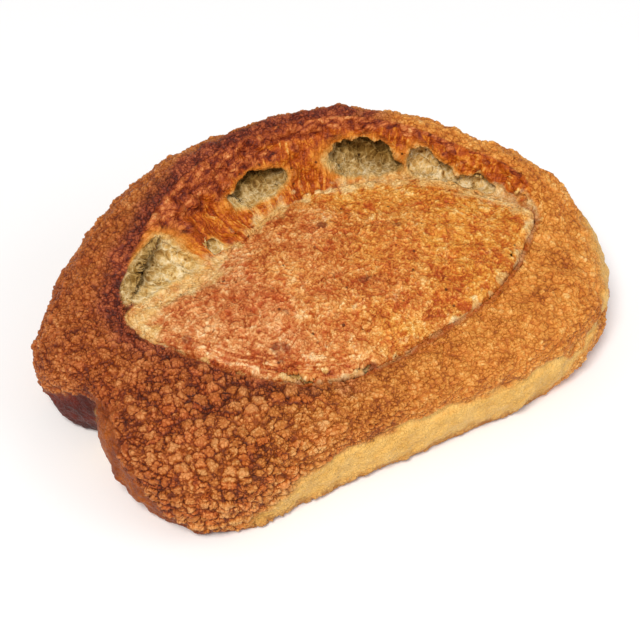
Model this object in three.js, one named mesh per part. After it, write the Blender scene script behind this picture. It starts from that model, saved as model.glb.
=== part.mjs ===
// A sourdough loaf whose top tore open in the oven: a pebbled crust, a tall ear along one side of the tear,
// and the soft bloom of dough that rose through it.
// Millimetres, +Z up, +X along the loaf, the ear towards +Y. It rests on its flat base, with the origin at
// the middle of its box.
import * as THREE from 'three';

// Sizes round the loaf: [bearing in degrees, size in mm], seen from the loaf's heart.
// Bearing 0 is along +X, 90 towards the ear, 180 the end with two lobes and 270 the low front.

// Reach of the widest line, and its height.
const waistReach = [
  [0, 134], [25, 125], [55, 113], [90, 107], [120, 119], [145, 130], [158, 136], [168, 140], [180, 126],
  [192, 131], [206, 133], [219, 123], [232, 98], [248, 81], [272, 75], [294, 81], [314, 99], [336, 125],
];
const waistHeight = [[20, 32], [90, 31], [165, 32], [215, 26], [270, 24], [325, 29]];

// How far the foot draws in under the widest line.
const footInset = [[90, 19], [180, 19], [215, 13], [270, 10], [330, 13]];

// The edge of the crust along the tear: the top of the ear at the back, a low lip at the front.
const rimReach = [
  [0, 109], [10, 104], [28, 94], [60, 88], [96, 82], [125, 85], [148, 93], [163, 101],
  [172, 98], [186, 83], [210, 69], [240, 60], [270, 53], [300, 56], [328, 73], [348, 92],
];
const rimHeight = [
  [0, 57], [10, 67], [25, 72], [45, 79], [80, 83], [125, 78], [148, 64],
  [165, 53], [190, 49], [225, 45], [280, 46], [345, 52],
];

// The outline of the bloom, where it meets the torn face, and its height.
const bloomReach = [
  [0, 102], [14, 93], [38, 78], [65, 63], [90, 56], [120, 53], [146, 61], [158, 74],
  [166, 94], [186, 80], [210, 66], [240, 57], [270, 51], [300, 53], [328, 70], [348, 89],
];
const bloomHeight = [[20, 52], [90, 53], [160, 49], [215, 43], [265, 44], [330, 49], [355, 52]];
const bloomTop = 58;

// How full each curve of the section is: 1 is an arc of an ellipse.
const footFullness = 0.8;
const shoulderFullness = 0.95;
const tornFaceHollow = 0.65;
const tornFaceDrop = 1.2;
const bloomFlatness = 2.5;

// Pockets of open crumb in the torn face. bearing and halfWidth are degrees round the loaf, drop and
// halfHeight are shares of the way down the face, and depth is the hollow in mm. lean is how much higher a
// pocket lies with each degree of bearing.
const pockets = [
  { bearing: 149.5, halfWidth: 14, drop: 0.46, halfHeight: 0.37, lean: 0.006, depth: 12 },
  { bearing: 130, halfWidth: 4, drop: 0.82, halfHeight: 0.2, lean: 0, depth: 5 },
  { bearing: 119, halfWidth: 9, drop: 0.62, halfHeight: 0.34, lean: 0, depth: 4 },
  { bearing: 97, halfWidth: 14.5, drop: 0.58, halfHeight: 0.18, lean: 0, depth: 11 },
  { bearing: 53.5, halfWidth: 13.5, drop: 0.58, halfHeight: 0.26, lean: 0.004, depth: 12 },
  { bearing: 31, halfWidth: 9, drop: 0.64, halfHeight: 0.28, lean: 0.016, depth: 8 },
  { bearing: 18.5, halfWidth: 6, drop: 0.72, halfHeight: 0.22, lean: 0, depth: 5 },
];
const pocketLip = 0.3;

// Thickness of the crust that is left behind and above the pockets.
const crustBehindPocket = 3;

// The cleft between the two lobes: deep at the base, gone at the rim.
const cleft = { bearing: 180.5, halfWidth: 4, depth: 7 };

// The crease along the front where the crust ends over the pale band of the side.
const crease = { bearing: 286, halfWidth: 56, fadeFrom: 0.75, height: 26, halfHeight: 2.5, depth: 1.8 };

// Crags of the crust and soft swells of the bloom: heights and wavelengths in mm.
const crags = { seed: 11, waves: 14, shortest: 15, longest: 30, height: 0.7 };
const swells = { seed: 29, waves: 10, shortest: 36, longest: 64, height: 0.9 };
const flatSkirt = 5;

// Facets: columns round the loaf, closer together along the ear, and rings in each stretch of the section.
const columns = 150;
const earBearing = 85;
const earCrowding = 0.3;
const rings = { base: 3, foot: 6, shoulder: 9, tornFace: 9, bloom: 9 };

const crustMaterial = new THREE.MeshStandardMaterial({ color: 0xb06a35, roughness: 0.75, metalness: 0 });

const turn = 360;
const quarterTurn = Math.PI / 2;

// A repeatable row of random numbers: each is the last one times the multiplier, modulo a large prime.
const drawMultiplier = 16807;
const drawPrime = 2147483647;

// A smooth closed curve of sizes through the [bearing, size] pairs: cubic, with slopes from the neighbours.
function sizeAround(pairs) {
  const count = pairs.length;
  const bearingOf = (i) => pairs[((i % count) + count) % count][0] + turn * Math.floor(i / count);
  const sizeOf = (i) => pairs[((i % count) + count) % count][1];
  const slopeAt = (i) => (sizeOf(i + 1) - sizeOf(i - 1)) / (bearingOf(i + 1) - bearingOf(i - 1));
  return (bearing) => {
    const wrapped = THREE.MathUtils.euclideanModulo(bearing - bearingOf(0), turn) + bearingOf(0);
    let i = 0;
    while (bearingOf(i + 1) <= wrapped) i += 1;
    const span = bearingOf(i + 1) - bearingOf(i);
    const t = (wrapped - bearingOf(i)) / span;
    const blend = 3 * t ** 2 - 2 * t ** 3;
    const size = (1 - blend) * sizeOf(i) + blend * sizeOf(i + 1);
    return size + span * ((t ** 3 - 2 * t ** 2 + t) * slopeAt(i) + (t ** 3 - t ** 2) * slopeAt(i + 1));
  };
}

// Uneven ground from many flat waves in random directions, the same on every run.
function unevenGround({ seed, waves, shortest, longest, height }) {
  let state = seed;
  const draw = () => {
    state = (state * drawMultiplier) % drawPrime;
    return state / drawPrime;
  };
  const all = [];
  for (let i = 0; i < waves; i += 1) {
    const rise = 2 * draw() - 1;
    const heading = 2 * Math.PI * draw();
    const wavelength = shortest + (longest - shortest) * draw();
    const flat = Math.sqrt(1 - rise * rise);
    const direction = new THREE.Vector3(flat * Math.cos(heading), flat * Math.sin(heading), rise);
    all.push({ step: direction.multiplyScalar((2 * Math.PI) / wavelength), start: 2 * Math.PI * draw() });
  }
  const share = height * Math.sqrt(2 / waves);
  return (point) => all.reduce((sum, wave) => sum + share * Math.sin(wave.step.dot(point) + wave.start), 0);
}

const around = {
  waistReach: sizeAround(waistReach),
  waistHeight: sizeAround(waistHeight),
  footInset: sizeAround(footInset),
  rimReach: sizeAround(rimReach),
  rimHeight: sizeAround(rimHeight),
  bloomReach: sizeAround(bloomReach),
  bloomHeight: sizeAround(bloomHeight),
};

const bearingBetween = (a, b) => THREE.MathUtils.euclideanModulo(a - b + turn / 2, turn) - turn / 2;

// The stretches of the section, from the heart of the base to the heart of the bloom. Each gives reach and
// height in mm at t, which runs from 0 to 1 along it.
const { lerp } = THREE.MathUtils;
const sine = (t) => Math.sin(t * quarterTurn);
const cosine = (t) => Math.cos(t * quarterTurn);
const section = {
  base: (size, t) => ({ reach: size.foot * t, height: 0 }),
  foot: (size, t) => ({
    reach: lerp(size.foot, size.waistReach, sine(t) ** footFullness),
    height: size.waistHeight * (1 - cosine(t)),
  }),
  shoulder: (size, t) => ({
    reach: lerp(size.rimReach, size.waistReach, cosine(t)),
    height: lerp(size.waistHeight, size.rimHeight, sine(t) ** shoulderFullness),
  }),
  tornFace: (size, t) => ({
    reach: lerp(size.rimReach, size.bloomReach, (1 - cosine(t)) ** tornFaceHollow),
    height: lerp(size.rimHeight, size.bloomHeight, sine(t) ** tornFaceDrop),
  }),
  bloom: (size, t) => ({
    reach: size.bloomReach * (1 - t),
    height: lerp(size.bloomHeight, bloomTop, 1 - (1 - t) ** bloomFlatness),
  }),
};

// How far the pockets push the torn face back into the ear.
function pocketDepth(bearing, t) {
  let depth = 0;
  for (const pocket of pockets) {
    const sideways = bearingBetween(bearing, pocket.bearing);
    const down = (t - pocket.drop + pocket.lean * sideways) / pocket.halfHeight;
    const away = Math.hypot(sideways / pocket.halfWidth, down);
    const outside = THREE.MathUtils.smoothstep(away, 1 - pocketLip, 1 + pocketLip / 2);
    depth = Math.max(depth, pocket.depth * (1 - outside));
  }
  return depth;
}

// How far the pockets may reach at a height above the widest line: up to the inside of the crust.
function insideReach(size, height) {
  const rise = (height - size.waistHeight) / (size.rimHeight - crustBehindPocket - size.waistHeight);
  const steep = THREE.MathUtils.clamp(rise, 0, 1) ** (1 / shoulderFullness);
  return lerp(size.rimReach, size.waistReach, Math.sqrt(1 - steep ** 2)) - crustBehindPocket;
}

function cleftDepth(bearing, height, rimHeightHere) {
  const across = bearingBetween(bearing, cleft.bearing) / cleft.halfWidth;
  const fade = 1 - THREE.MathUtils.smoothstep(height, 0, rimHeightHere);
  return cleft.depth * fade * Math.exp(-across * across);
}

function creaseDepth(bearing, height) {
  const along = Math.abs(bearingBetween(bearing, crease.bearing)) / crease.halfWidth;
  const up = (height - crease.height) / crease.halfHeight;
  const fade = 1 - THREE.MathUtils.smoothstep(along, crease.fadeFrom, 1);
  return crease.depth * fade * Math.exp(-up * up);
}

// One point of the loaf before its crags.
function loafPoint(bearing, stretch, t) {
  const size = {};
  for (const name of Object.keys(around)) size[name] = around[name](bearing);
  size.foot = size.waistReach - size.footInset;
  const { reach, height } = section[stretch](size, t);
  let moved = reach;
  if (stretch === 'foot' || stretch === 'shoulder') {
    moved -= cleftDepth(bearing, height, size.rimHeight) + creaseDepth(bearing, height);
  }
  if (stretch === 'base') moved -= t * cleftDepth(bearing, 0, size.rimHeight);
  if (stretch === 'tornFace') {
    const room = Math.max(insideReach(size, height) - reach, 0);
    moved += Math.min(pocketDepth(bearing, t), room);
  }
  const angle = THREE.MathUtils.degToRad(bearing);
  return new THREE.Vector3(moved * Math.cos(angle), moved * Math.sin(angle), height);
}

// Columns lie closer together along the ear, where the pockets are.
function columnBearing(column) {
  const even = (turn * column) / columns;
  const swing = (turn * earCrowding) / (2 * Math.PI);
  return even - swing * Math.sin(THREE.MathUtils.degToRad(even - earBearing));
}

// The skin is a stack of rings between the heart of the base and the heart of the bloom.
function makeSkin() {
  const points = [loafPoint(0, 'base', 0)];
  const heights = [0];
  const crustShare = [0];
  const bloomShare = [0];
  for (const stretch of Object.keys(rings)) {
    const last = stretch === 'bloom' ? rings[stretch] - 1 : rings[stretch];
    for (let ring = 1; ring <= last; ring += 1) {
      const t = ring / rings[stretch];
      for (let column = 0; column < columns; column += 1) {
        const point = loafPoint(columnBearing(column), stretch, t);
        points.push(point);
        heights.push(point.z);
        bloomShare.push(stretch === 'bloom' ? 1 : 0);
        crustShare.push(stretch === 'foot' || stretch === 'shoulder' ? 1 : 0);
      }
    }
  }
  points.push(loafPoint(0, 'bloom', 1));
  heights.push(bloomTop);
  crustShare.push(0);
  bloomShare.push(1);

  const faces = [];
  const top = points.length - 1;
  const ringCount = (points.length - 2) / columns;
  for (let column = 0; column < columns; column += 1) {
    const next = (column + 1) % columns;
    faces.push(0, 1 + next, 1 + column);
    for (let ring = 0; ring < ringCount - 1; ring += 1) {
      const low = 1 + ring * columns;
      const high = low + columns;
      faces.push(low + column, low + next, high + next);
      faces.push(low + column, high + next, high + column);
    }
    const lastRing = top - columns;
    faces.push(lastRing + column, lastRing + next, top);
  }

  const skin = new THREE.BufferGeometry().setFromPoints(points);
  skin.setIndex(faces);
  return { skin, heights, crustShare, bloomShare };
}

// Crags and swells stand along the skin's own normals, and fade out above the flat base.
function addRelief({ skin, heights, crustShare, bloomShare }) {
  const crag = unevenGround(crags);
  const swell = unevenGround(swells);
  skin.computeVertexNormals();
  const place = skin.getAttribute('position');
  const normal = skin.getAttribute('normal');
  const point = new THREE.Vector3();
  const outward = new THREE.Vector3();
  for (let i = 0; i < place.count; i += 1) {
    point.fromBufferAttribute(place, i);
    outward.fromBufferAttribute(normal, i);
    const lift = crag(point) * crustShare[i] + swell(point) * bloomShare[i];
    point.addScaledVector(outward, lift * THREE.MathUtils.smoothstep(heights[i], 0, flatSkirt));
    place.setXYZ(i, point.x, point.y, point.z);
  }
  skin.deleteAttribute('normal');
}

// Brings the middle of the base's box to the origin.
function centreOnBase(skin) {
  skin.computeBoundingBox();
  const middle = skin.boundingBox.getCenter(new THREE.Vector3());
  skin.translate(-middle.x, -middle.y, 0);
}

function makeLoaf() {
  const made = makeSkin();
  addRelief(made);
  centreOnBase(made.skin);
  const loaf = new THREE.Mesh(made.skin, crustMaterial);
  loaf.name = 'loaf';
  return loaf;
}

const bread = new THREE.Group();
bread.add(makeLoaf());

export default bread;
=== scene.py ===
import functools
import math
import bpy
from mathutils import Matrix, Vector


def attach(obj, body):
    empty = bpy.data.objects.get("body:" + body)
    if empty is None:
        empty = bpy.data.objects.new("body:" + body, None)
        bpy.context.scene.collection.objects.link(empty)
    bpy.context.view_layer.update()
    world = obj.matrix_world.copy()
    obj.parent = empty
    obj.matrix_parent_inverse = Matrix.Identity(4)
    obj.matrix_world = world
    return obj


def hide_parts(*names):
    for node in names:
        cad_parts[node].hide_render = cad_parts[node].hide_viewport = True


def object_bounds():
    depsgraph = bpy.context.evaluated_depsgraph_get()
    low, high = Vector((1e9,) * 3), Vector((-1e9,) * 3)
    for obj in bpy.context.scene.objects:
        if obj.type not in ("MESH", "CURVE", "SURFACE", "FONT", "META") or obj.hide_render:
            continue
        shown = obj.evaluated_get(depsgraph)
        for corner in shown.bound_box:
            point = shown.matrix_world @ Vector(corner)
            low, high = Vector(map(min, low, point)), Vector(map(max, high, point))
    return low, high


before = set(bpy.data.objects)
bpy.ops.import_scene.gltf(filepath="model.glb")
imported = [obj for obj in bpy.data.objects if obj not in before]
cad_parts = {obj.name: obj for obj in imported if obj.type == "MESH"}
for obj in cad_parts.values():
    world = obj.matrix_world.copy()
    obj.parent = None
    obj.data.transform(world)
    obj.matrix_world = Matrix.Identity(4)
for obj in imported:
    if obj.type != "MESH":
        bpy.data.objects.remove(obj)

from types import SimpleNamespace
import bpy
import numpy as np
from mathutils import Vector

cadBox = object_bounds()
mm = 0.001
fullTurn = 360.0

# The loaf's form, in mm from its heart. Bearings are in degrees: 0 along +X, 90 towards the ear,
# 180 the end with two lobes, 270 the low front.
form = {
    "waistReach": [
        [0, 134], [25, 125], [55, 113], [90, 107], [120, 119], [145, 130], [158, 136], [168, 140],
        [180, 126], [192, 131], [206, 133], [219, 123], [232, 98], [248, 81], [272, 75], [294, 81],
        [314, 99], [336, 125]],
    "waistHeight": [[20, 32], [90, 31], [165, 32], [215, 26], [270, 24], [325, 29]],
    "footInset": [[90, 19], [180, 19], [215, 13], [270, 10], [330, 13]],
    "rimReach": [
        [0, 109], [10, 104], [28, 94], [60, 88], [96, 82], [125, 85], [148, 93], [163, 101],
        [172, 98], [186, 83], [210, 69], [240, 60], [270, 53], [300, 56], [328, 73], [348, 92]],
    "rimHeight": [
        [0, 57], [10, 67], [25, 72], [45, 79], [80, 83], [125, 78], [148, 64],
        [165, 53], [190, 49], [225, 45], [280, 46], [345, 52]],
    "bloomReach": [
        [0, 102], [14, 93], [38, 78], [65, 63], [90, 56], [120, 53], [146, 61], [158, 74],
        [166, 94], [186, 80], [210, 66], [240, 57], [270, 51], [300, 53], [328, 70], [348, 89]],
    "bloomHeight": [[20, 52], [90, 53], [160, 49], [215, 43], [265, 44], [330, 49], [355, 52]],
}
bloomTop = 58.0
fullness = {"foot": 0.8, "shoulder": 0.95, "tornReach": 0.65, "tornDrop": 1.2, "bloom": 2.5}
rings = {"base": 5, "foot": 56, "shoulder": 128, "tornFace": 58, "bloom": 150}
columns = 1280


def sizeAround(pairs, bearings):
    # a smooth closed curve through the [bearing, size] pairs, with slopes from the neighbours
    knots = np.array(pairs, float)
    at = np.concatenate([knots[:, 0] + fullTurn * k for k in (-1, 0, 1)])
    sizes = np.tile(knots[:, 1], 3)
    slopes = np.zeros(len(at))
    slopes[1:-1] = (sizes[2:] - sizes[:-2]) / (at[2:] - at[:-2])
    here = np.mod(bearings - knots[0, 0], fullTurn) + knots[0, 0]
    i = np.searchsorted(at, here, side="right") - 1
    span = at[i + 1] - at[i]
    t = (here - at[i]) / span
    blend = 3 * t**2 - 2 * t**3
    between = (1 - blend) * sizes[i] + blend * sizes[i + 1]
    return between + span * ((t**3 - 2 * t**2 + t) * slopes[i] + (t**3 - t**2) * slopes[i + 1])


def smoothstep(values, low, high):
    t = np.clip((values - low) / (high - low), 0, 1)
    return t * t * (3 - 2 * t)


def bell(away):
    return np.exp(-(away ** 2))


def lerp(a, b, t):
    return a + (b - a) * t


def bearingBetween(a, b):
    return np.mod(a - b + fullTurn / 2, fullTurn) - fullTurn / 2


def unevenGround(points, seed, waves, shortest, longest, height):
    # many flat waves in random directions, the same on every run, as in the solid
    multiplier, prime = 16807, 2147483647
    state = seed
    total = np.zeros(points.shape[:-1])
    for _ in range(waves):
        draws = []
        for _ in range(4):
            state = (state * multiplier) % prime
            draws.append(state / prime)
        rise, heading = 2 * draws[0] - 1, 2 * math.pi * draws[1]
        step = 2 * math.pi / (shortest + (longest - shortest) * draws[2])
        flat = math.sqrt(1 - rise * rise)
        direction = np.array([flat * math.cos(heading), flat * math.sin(heading), rise])
        total += np.sin(points @ direction * step + 2 * math.pi * draws[3])
    return total * height * math.sqrt(2 / waves)


def section(stretch, size, t):
    # reach and height in mm along one stretch of the section, t running from 0 to 1
    sine, cosine = np.sin(t * math.pi / 2), np.cos(t * math.pi / 2)
    foot = size["waistReach"] - size["footInset"]
    if stretch == "base":
        return foot * t, 0 * foot * t
    if stretch == "foot":
        reach = lerp(foot, size["waistReach"], sine ** fullness["foot"])
        return reach, size["waistHeight"] * (1 - cosine)
    if stretch == "shoulder":
        reach = lerp(size["rimReach"], size["waistReach"], cosine)
        return reach, lerp(size["waistHeight"], size["rimHeight"], sine ** fullness["shoulder"])
    if stretch == "tornFace":
        reach = lerp(size["rimReach"], size["bloomReach"], (1 - cosine) ** fullness["tornReach"])
        return reach, lerp(size["rimHeight"], size["bloomHeight"], sine ** fullness["tornDrop"])
    reach = size["bloomReach"] * (1 - t)
    return reach, lerp(size["bloomHeight"], bloomTop, 1 - (1 - t) ** fullness["bloom"])


def insideReach(size, height, thickness):
    # reach of a shell that lies a thickness in mm inside the crust, at a height above the widest line
    full = size["rimHeight"] - thickness - size["waistHeight"]
    steep = np.clip((height - size["waistHeight"]) / full, 0, 1) ** (1 / fullness["shoulder"])
    return lerp(size["rimReach"], size["waistReach"], np.sqrt(1 - steep ** 2)) - thickness


def evenColumns():
    # bearings an equal step apart along the widest line
    fine = np.linspace(0, fullTurn, 7201)
    reach = sizeAround(form["waistReach"], fine)
    turned = np.radians(fine)
    path = np.stack([reach * np.cos(turned), reach * np.sin(turned)], -1)
    length = np.concatenate([[0], np.cumsum(np.linalg.norm(np.diff(path, axis=0), axis=1))])
    return np.interp(np.arange(columns) / columns * length[-1], length, fine)


def evenSteps(stretch, size, count):
    # shares t of a stretch that lie an equal step apart on the average section
    fine = np.linspace(0, 1, 401)
    reach, height = section(stretch, size, fine[:, None])
    step = np.hypot(np.diff(reach, axis=0), np.diff(height, axis=0)).mean(axis=1)
    length = np.concatenate([[0], np.cumsum(step)])
    return np.interp(np.arange(1, count + 1) / count * length[-1], length, fine)


def loafRings(bearing, size):
    # reach and height in mm of every ring and column, with the stretch and t of each ring
    reach, height, stretchOf, tOf = [], [], [], []
    for stretch, count in rings.items():
        steps = evenSteps(stretch, size, count)
        for t in steps[:-1] if stretch == "bloom" else steps:
            r, z = section(stretch, size, t)
            reach.append(r)
            height.append(z)
            stretchOf.append(stretch)
            tOf.append(t)
    return np.array(reach), np.array(height), np.array(stretchOf), np.array(tOf)[:, None]


rimRounding = {"rings": 6.5, "window": 26, "passes": 240}


def roundRim(reach, height, rimRing):
    # the rim is a rounded edge of crust, not a knife edge
    near = slice(rimRing - rimRounding["window"], rimRing + rimRounding["window"] + 1)
    away = np.arange(-rimRounding["window"], rimRounding["window"] + 1) / rimRounding["rings"]
    share = 0.5 * bell(away)[1:-1, None]
    for values in (reach[near], height[near]):
        for _ in range(rimRounding["passes"]):
            values[1:-1] += share * ((values[:-2] + values[2:]) / 2 - values[1:-1])


def placed(skin, reach, height):
    angle = np.radians(skin.bearing)
    return np.stack([reach * np.cos(angle), reach * np.sin(angle), height], -1)


# Where crust, torn face and bloom meet, in mm: how far the rim stands above the bloom while the face
# between them opens, and each border's width. Where the face stays shut, crust and bloom share it.
zones = {"opens": (5, 12), "crustBorder": (-0.6, 0.9), "crustTakes": 0.55,
         "bloomBorder": (-0.8, 0.8), "bloomTakes": 0.4}


def bareSkin():
    # the skin before anything is pressed in or raised, and how far each point lies from rim and bloom
    skin = SimpleNamespace(bearing=evenColumns())
    skin.size = {name: sizeAround(pairs, skin.bearing) for name, pairs in form.items()}
    skin.reach, skin.height, skin.stretchOf, skin.tOf = loafRings(skin.bearing, skin.size)
    rimRing = np.flatnonzero(skin.stretchOf == "shoulder")[-1]
    skin.edgeRing = np.flatnonzero(skin.stretchOf == "tornFace")[-1]
    roundRim(skin.reach, skin.height, rimRing)
    skin.bare = placed(skin, skin.reach, skin.height)
    step = np.linalg.norm(np.diff(skin.bare, axis=0), axis=2)
    length = np.concatenate([np.zeros((1, columns)), np.cumsum(step, axis=0)])
    skin.fromRim = length - length[rimRing]
    skin.fromEdge = length - length[skin.edgeRing]
    skin.wide = np.ones_like(length)
    skin.base = (skin.stretchOf == "base")[:, None] * skin.wide
    skin.outside = np.isin(skin.stretchOf, ["foot", "shoulder"])[:, None] * skin.wide

    opened = smoothstep(skin.size["rimHeight"] - skin.size["bloomHeight"], *zones["opens"])
    shut = (1 - opened) * (length[skin.edgeRing] - length[rimRing])
    skin.crust = 1 - smoothstep(skin.fromRim - zones["crustTakes"] * shut, *zones["crustBorder"])
    skin.bloom = smoothstep(skin.fromEdge + zones["bloomTakes"] * shut, *zones["bloomBorder"])
    skin.torn = np.clip(1 - skin.crust - skin.bloom, 0, 1)
    return skin


# Pockets of open crumb in the torn face: bearing and half width in degrees, drop and half height as shares
# of the way down the face, depth in mm. One with a lean sinks towards larger bearings. light is how pale
# its crumb is, partly its own colour and partly painted shade, and one pocket also gets painted shade that
# darkens it towards smaller bearings.
pockets = [
    {"bearing": 150.5, "halfWidth": 12.7, "drop": 0.45, "halfHeight": 0.38, "lean": 0.006, "depth": 10,
     "light": 0.25},
    {"bearing": 130, "halfWidth": 3.5, "drop": 0.84, "halfHeight": 0.14, "depth": 2.5, "light": 0.8},
    {"bearing": 97, "halfWidth": 14.5, "drop": 0.58, "halfHeight": 0.16, "depth": 11, "light": -0.15},
    {"bearing": 53.5, "halfWidth": 13.5, "drop": 0.58, "halfHeight": 0.25, "lean": 0.004, "depth": 13,
     "light": -0.05, "paintedShade": 0.7},
    {"bearing": 31, "halfWidth": 9, "drop": 0.62, "halfHeight": 0.27, "lean": 0.016, "depth": 8,
     "light": 1.4},
    {"bearing": 18.5, "halfWidth": 6, "drop": 0.72, "halfHeight": 0.22, "depth": 6, "light": 1.6},
]
# Every pocket: mm of crust that stay behind it, how its wall falls and where its outline is paler, as
# shares of the way out, how much paler it is there and below, and mm past the bloom's edge where it ends;
# the darker middle and top are painted shade.
# On the bloom the drop goes on by 1 in this many mm. farAway is the distance of a place without a pocket.
everyPocket = {"crustBehind": 6.5, "wall": (0.6, 1.06), "outline": (0.55, 0.95), "paleOutlineShadedMiddle": 0.7,
               "paintedShadeAbove": 0.45, "ends": (-1, 6), "bloomPerDrop": 40, "farAway": 9.0}
# Shallow golden hollows between them, without open crumb.
hollows = [
    {"bearing": 120, "halfWidth": 9, "drop": 0.66, "halfHeight": 0.34, "depth": 5},
    {"bearing": 75, "halfWidth": 7, "drop": 0.72, "halfHeight": 0.30, "depth": 2.5},
    {"bearing": 8, "halfWidth": 6, "drop": 0.60, "halfHeight": 0.30, "depth": 2},
]
everyHollow = {"wall": (0.3, 1.1), "wander": 0.5}
outlineWander = {"seed": 71, "waves": 16, "shortest": 10, "longest": 24, "height": 0.06}


def pocketDistance(pocket, bearing, drop):
    # 0 in a pocket's middle, 1 on its edge
    across = bearingBetween(bearing, pocket["bearing"])
    down = drop - pocket["drop"] + pocket.get("lean", 0) * across
    return np.hypot(across / pocket["halfWidth"], down / pocket["halfHeight"])


def pressPockets(skin):
    # pockets and hollows push the torn face back into the ear
    drop = np.select([skin.stretchOf == "tornFace", skin.stretchOf == "bloom"], [skin.tOf[:, 0], 1.0], 0.0)
    drop = drop[:, None] + np.clip(skin.fromEdge, 0, None) / everyPocket["bloomPerDrop"]
    wander = unevenGround(skin.bare, **outlineWander)
    skin.pocket = everyPocket["farAway"] * skin.wide
    skin.light = 0 * skin.wide
    push = 0 * skin.wide
    for one in pockets:
        distance = pocketDistance(one, skin.bearing, drop) + wander
        aside = np.clip(-bearingBetween(skin.bearing, one["bearing"]) / one["halfWidth"], 0, 1)
        below = (drop - one["drop"]) / one["halfHeight"]
        # paler below and out towards the outline: painted shade keeps each pocket's top and middle darker,
        # over its crumb's own paleness
        light = one["light"] + everyPocket["paintedShadeAbove"] * below - one.get("paintedShade", 0) * aside
        light = light + everyPocket["paleOutlineShadedMiddle"] * smoothstep(distance, *everyPocket["outline"])
        skin.light = np.where(distance < skin.pocket, light, skin.light)
        skin.pocket = np.minimum(skin.pocket, distance)
        push = np.maximum(push, one["depth"] * (1 - smoothstep(distance, *everyPocket["wall"])))
    skin.outline = skin.pocket
    for one in hollows:
        distance = pocketDistance(one, skin.bearing, drop) + everyHollow["wander"] * wander
        push = np.maximum(push, one["depth"] * (1 - smoothstep(distance, *everyHollow["wall"])))
    room = insideReach(skin.size, skin.height, everyPocket["crustBehind"]) - skin.reach
    push = np.minimum(push * (1 - smoothstep(skin.fromEdge, *everyPocket["ends"])), np.maximum(room, 0))
    skin.reach = skin.reach + np.where(skin.fromRim > 0, push, 0)


cleft = {"bearing": 180.5, "halfWidth": 4, "depth": 8}
crease = {"bearing": 286, "halfWidth": 56, "fadeFrom": 0.75, "height": 26, "halfHeight": 2.2, "depth": 1.8}


def dentSides(skin):
    # the cleft between the lobes, and the crease where the crust ends over the pale side
    across = bearingBetween(skin.bearing, cleft["bearing"]) / cleft["halfWidth"]
    notch = cleft["depth"] * (1 - smoothstep(skin.height / skin.size["rimHeight"], 0, 1)) * bell(across)
    along = np.abs(bearingBetween(skin.bearing, crease["bearing"])) / crease["halfWidth"]
    skin.overSide = 1 - smoothstep(along, crease["fadeFrom"], 1)
    dent = crease["depth"] * skin.overSide * bell((skin.height - crease["height"]) / crease["halfHeight"])
    skin.reach = skin.reach - skin.outside * (notch + dent) - skin.base * notch * skin.tOf


crags = {"seed": 11, "waves": 14, "shortest": 15, "longest": 30, "height": 0.5}
swells = {"seed": 29, "waves": 10, "shortest": 36, "longest": 64, "height": 0.9}
lumps = {"seed": 5, "waves": 18, "shortest": 6, "longest": 13, "height": 0.35}
tornLumps = {"seed": 83, "waves": 20, "shortest": 4, "longest": 11, "height": 0.8}
raggedEdge = {"seed": 41, "waves": 16, "shortest": 4, "longest": 11, "height": 1.0}
calmRim = {"halfWidth": 12, "share": 0.6}
# The crevice under the front lip and a dark line of painted shade in it, in mm from the bloom's edge.
lipLine = {"bearing": 272, "halfWidth": 105, "fadeFrom": 0.8, "depth": 0.8, "halfHeight": 1.6,
           "shadeAt": -1.0, "shadeHalfHeight": 2.6}
# Small openings under lifted skin at the bloom's edge: mm in from the edge, half height and depth in mm.
# light: how pale the crumb in each shows, as in the pockets; the dark one is painted shade in its opening
gaps = [
    {"bearing": 224, "halfWidth": 8, "in": 2.6, "halfHeight": 1.6, "depth": 1.8, "light": 0.9},
    {"bearing": 252.5, "halfWidth": 5, "in": 1.8, "halfHeight": 1.4, "depth": 1.8, "light": 0.8},
    {"bearing": 344, "halfWidth": 1.6, "in": 4.2, "halfHeight": 1.5, "depth": 2.6, "light": -0.6},
]
gapWall = (0.5, 1.1)
# Round swirls where bubbles under the bloom's skin sank: bearing, share of the way in, radius in mm.
swirls = [(182.5, 0.20, 3.7), (190, 0.38, 6.4), (203.5, 0.90, 3.7), (315, 0.60, 3.7), (262, 0.35, 4.5)]
everySwirl = {"depth": 1.4, "turns": 0.75, "fades": (0.4, 1.2)}
# Scorched places on the bloom, in the same way.
scorches = [(211.5, 0.18, 6.0), (238.5, 0.38, 2.6), (199, 0.5, 2.0), (181.5, 0.08, 2.4), (258, 0.02, 3.2),
            (75, 0.5, 3.0), (20, 0.55, 3.0), (300, 0.75, 4.0)]
everyScorch = {"fray": 0.3, "fades": (0.3, 1.3)}
flatSkirt = 5  # mm above the table over which the relief grows, so that the base stays flat


def normalsOf(grid):
    along = np.roll(grid, -1, axis=1) - np.roll(grid, 1, axis=1)
    up = np.gradient(grid, axis=0)
    normal = np.cross(along, up)
    return normal / np.maximum(np.linalg.norm(normal, axis=2, keepdims=True), 1e-9)


def fromSpot(skin, bearing, share, radius):
    # distance from a spot on the bloom, in its radii
    column = np.argmin(np.abs(bearingBetween(skin.bearing, bearing)))
    spot = skin.grid[skin.edgeRing + int(share * rings["bloom"]), column]
    return np.linalg.norm(skin.grid - spot, axis=2) / radius


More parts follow.
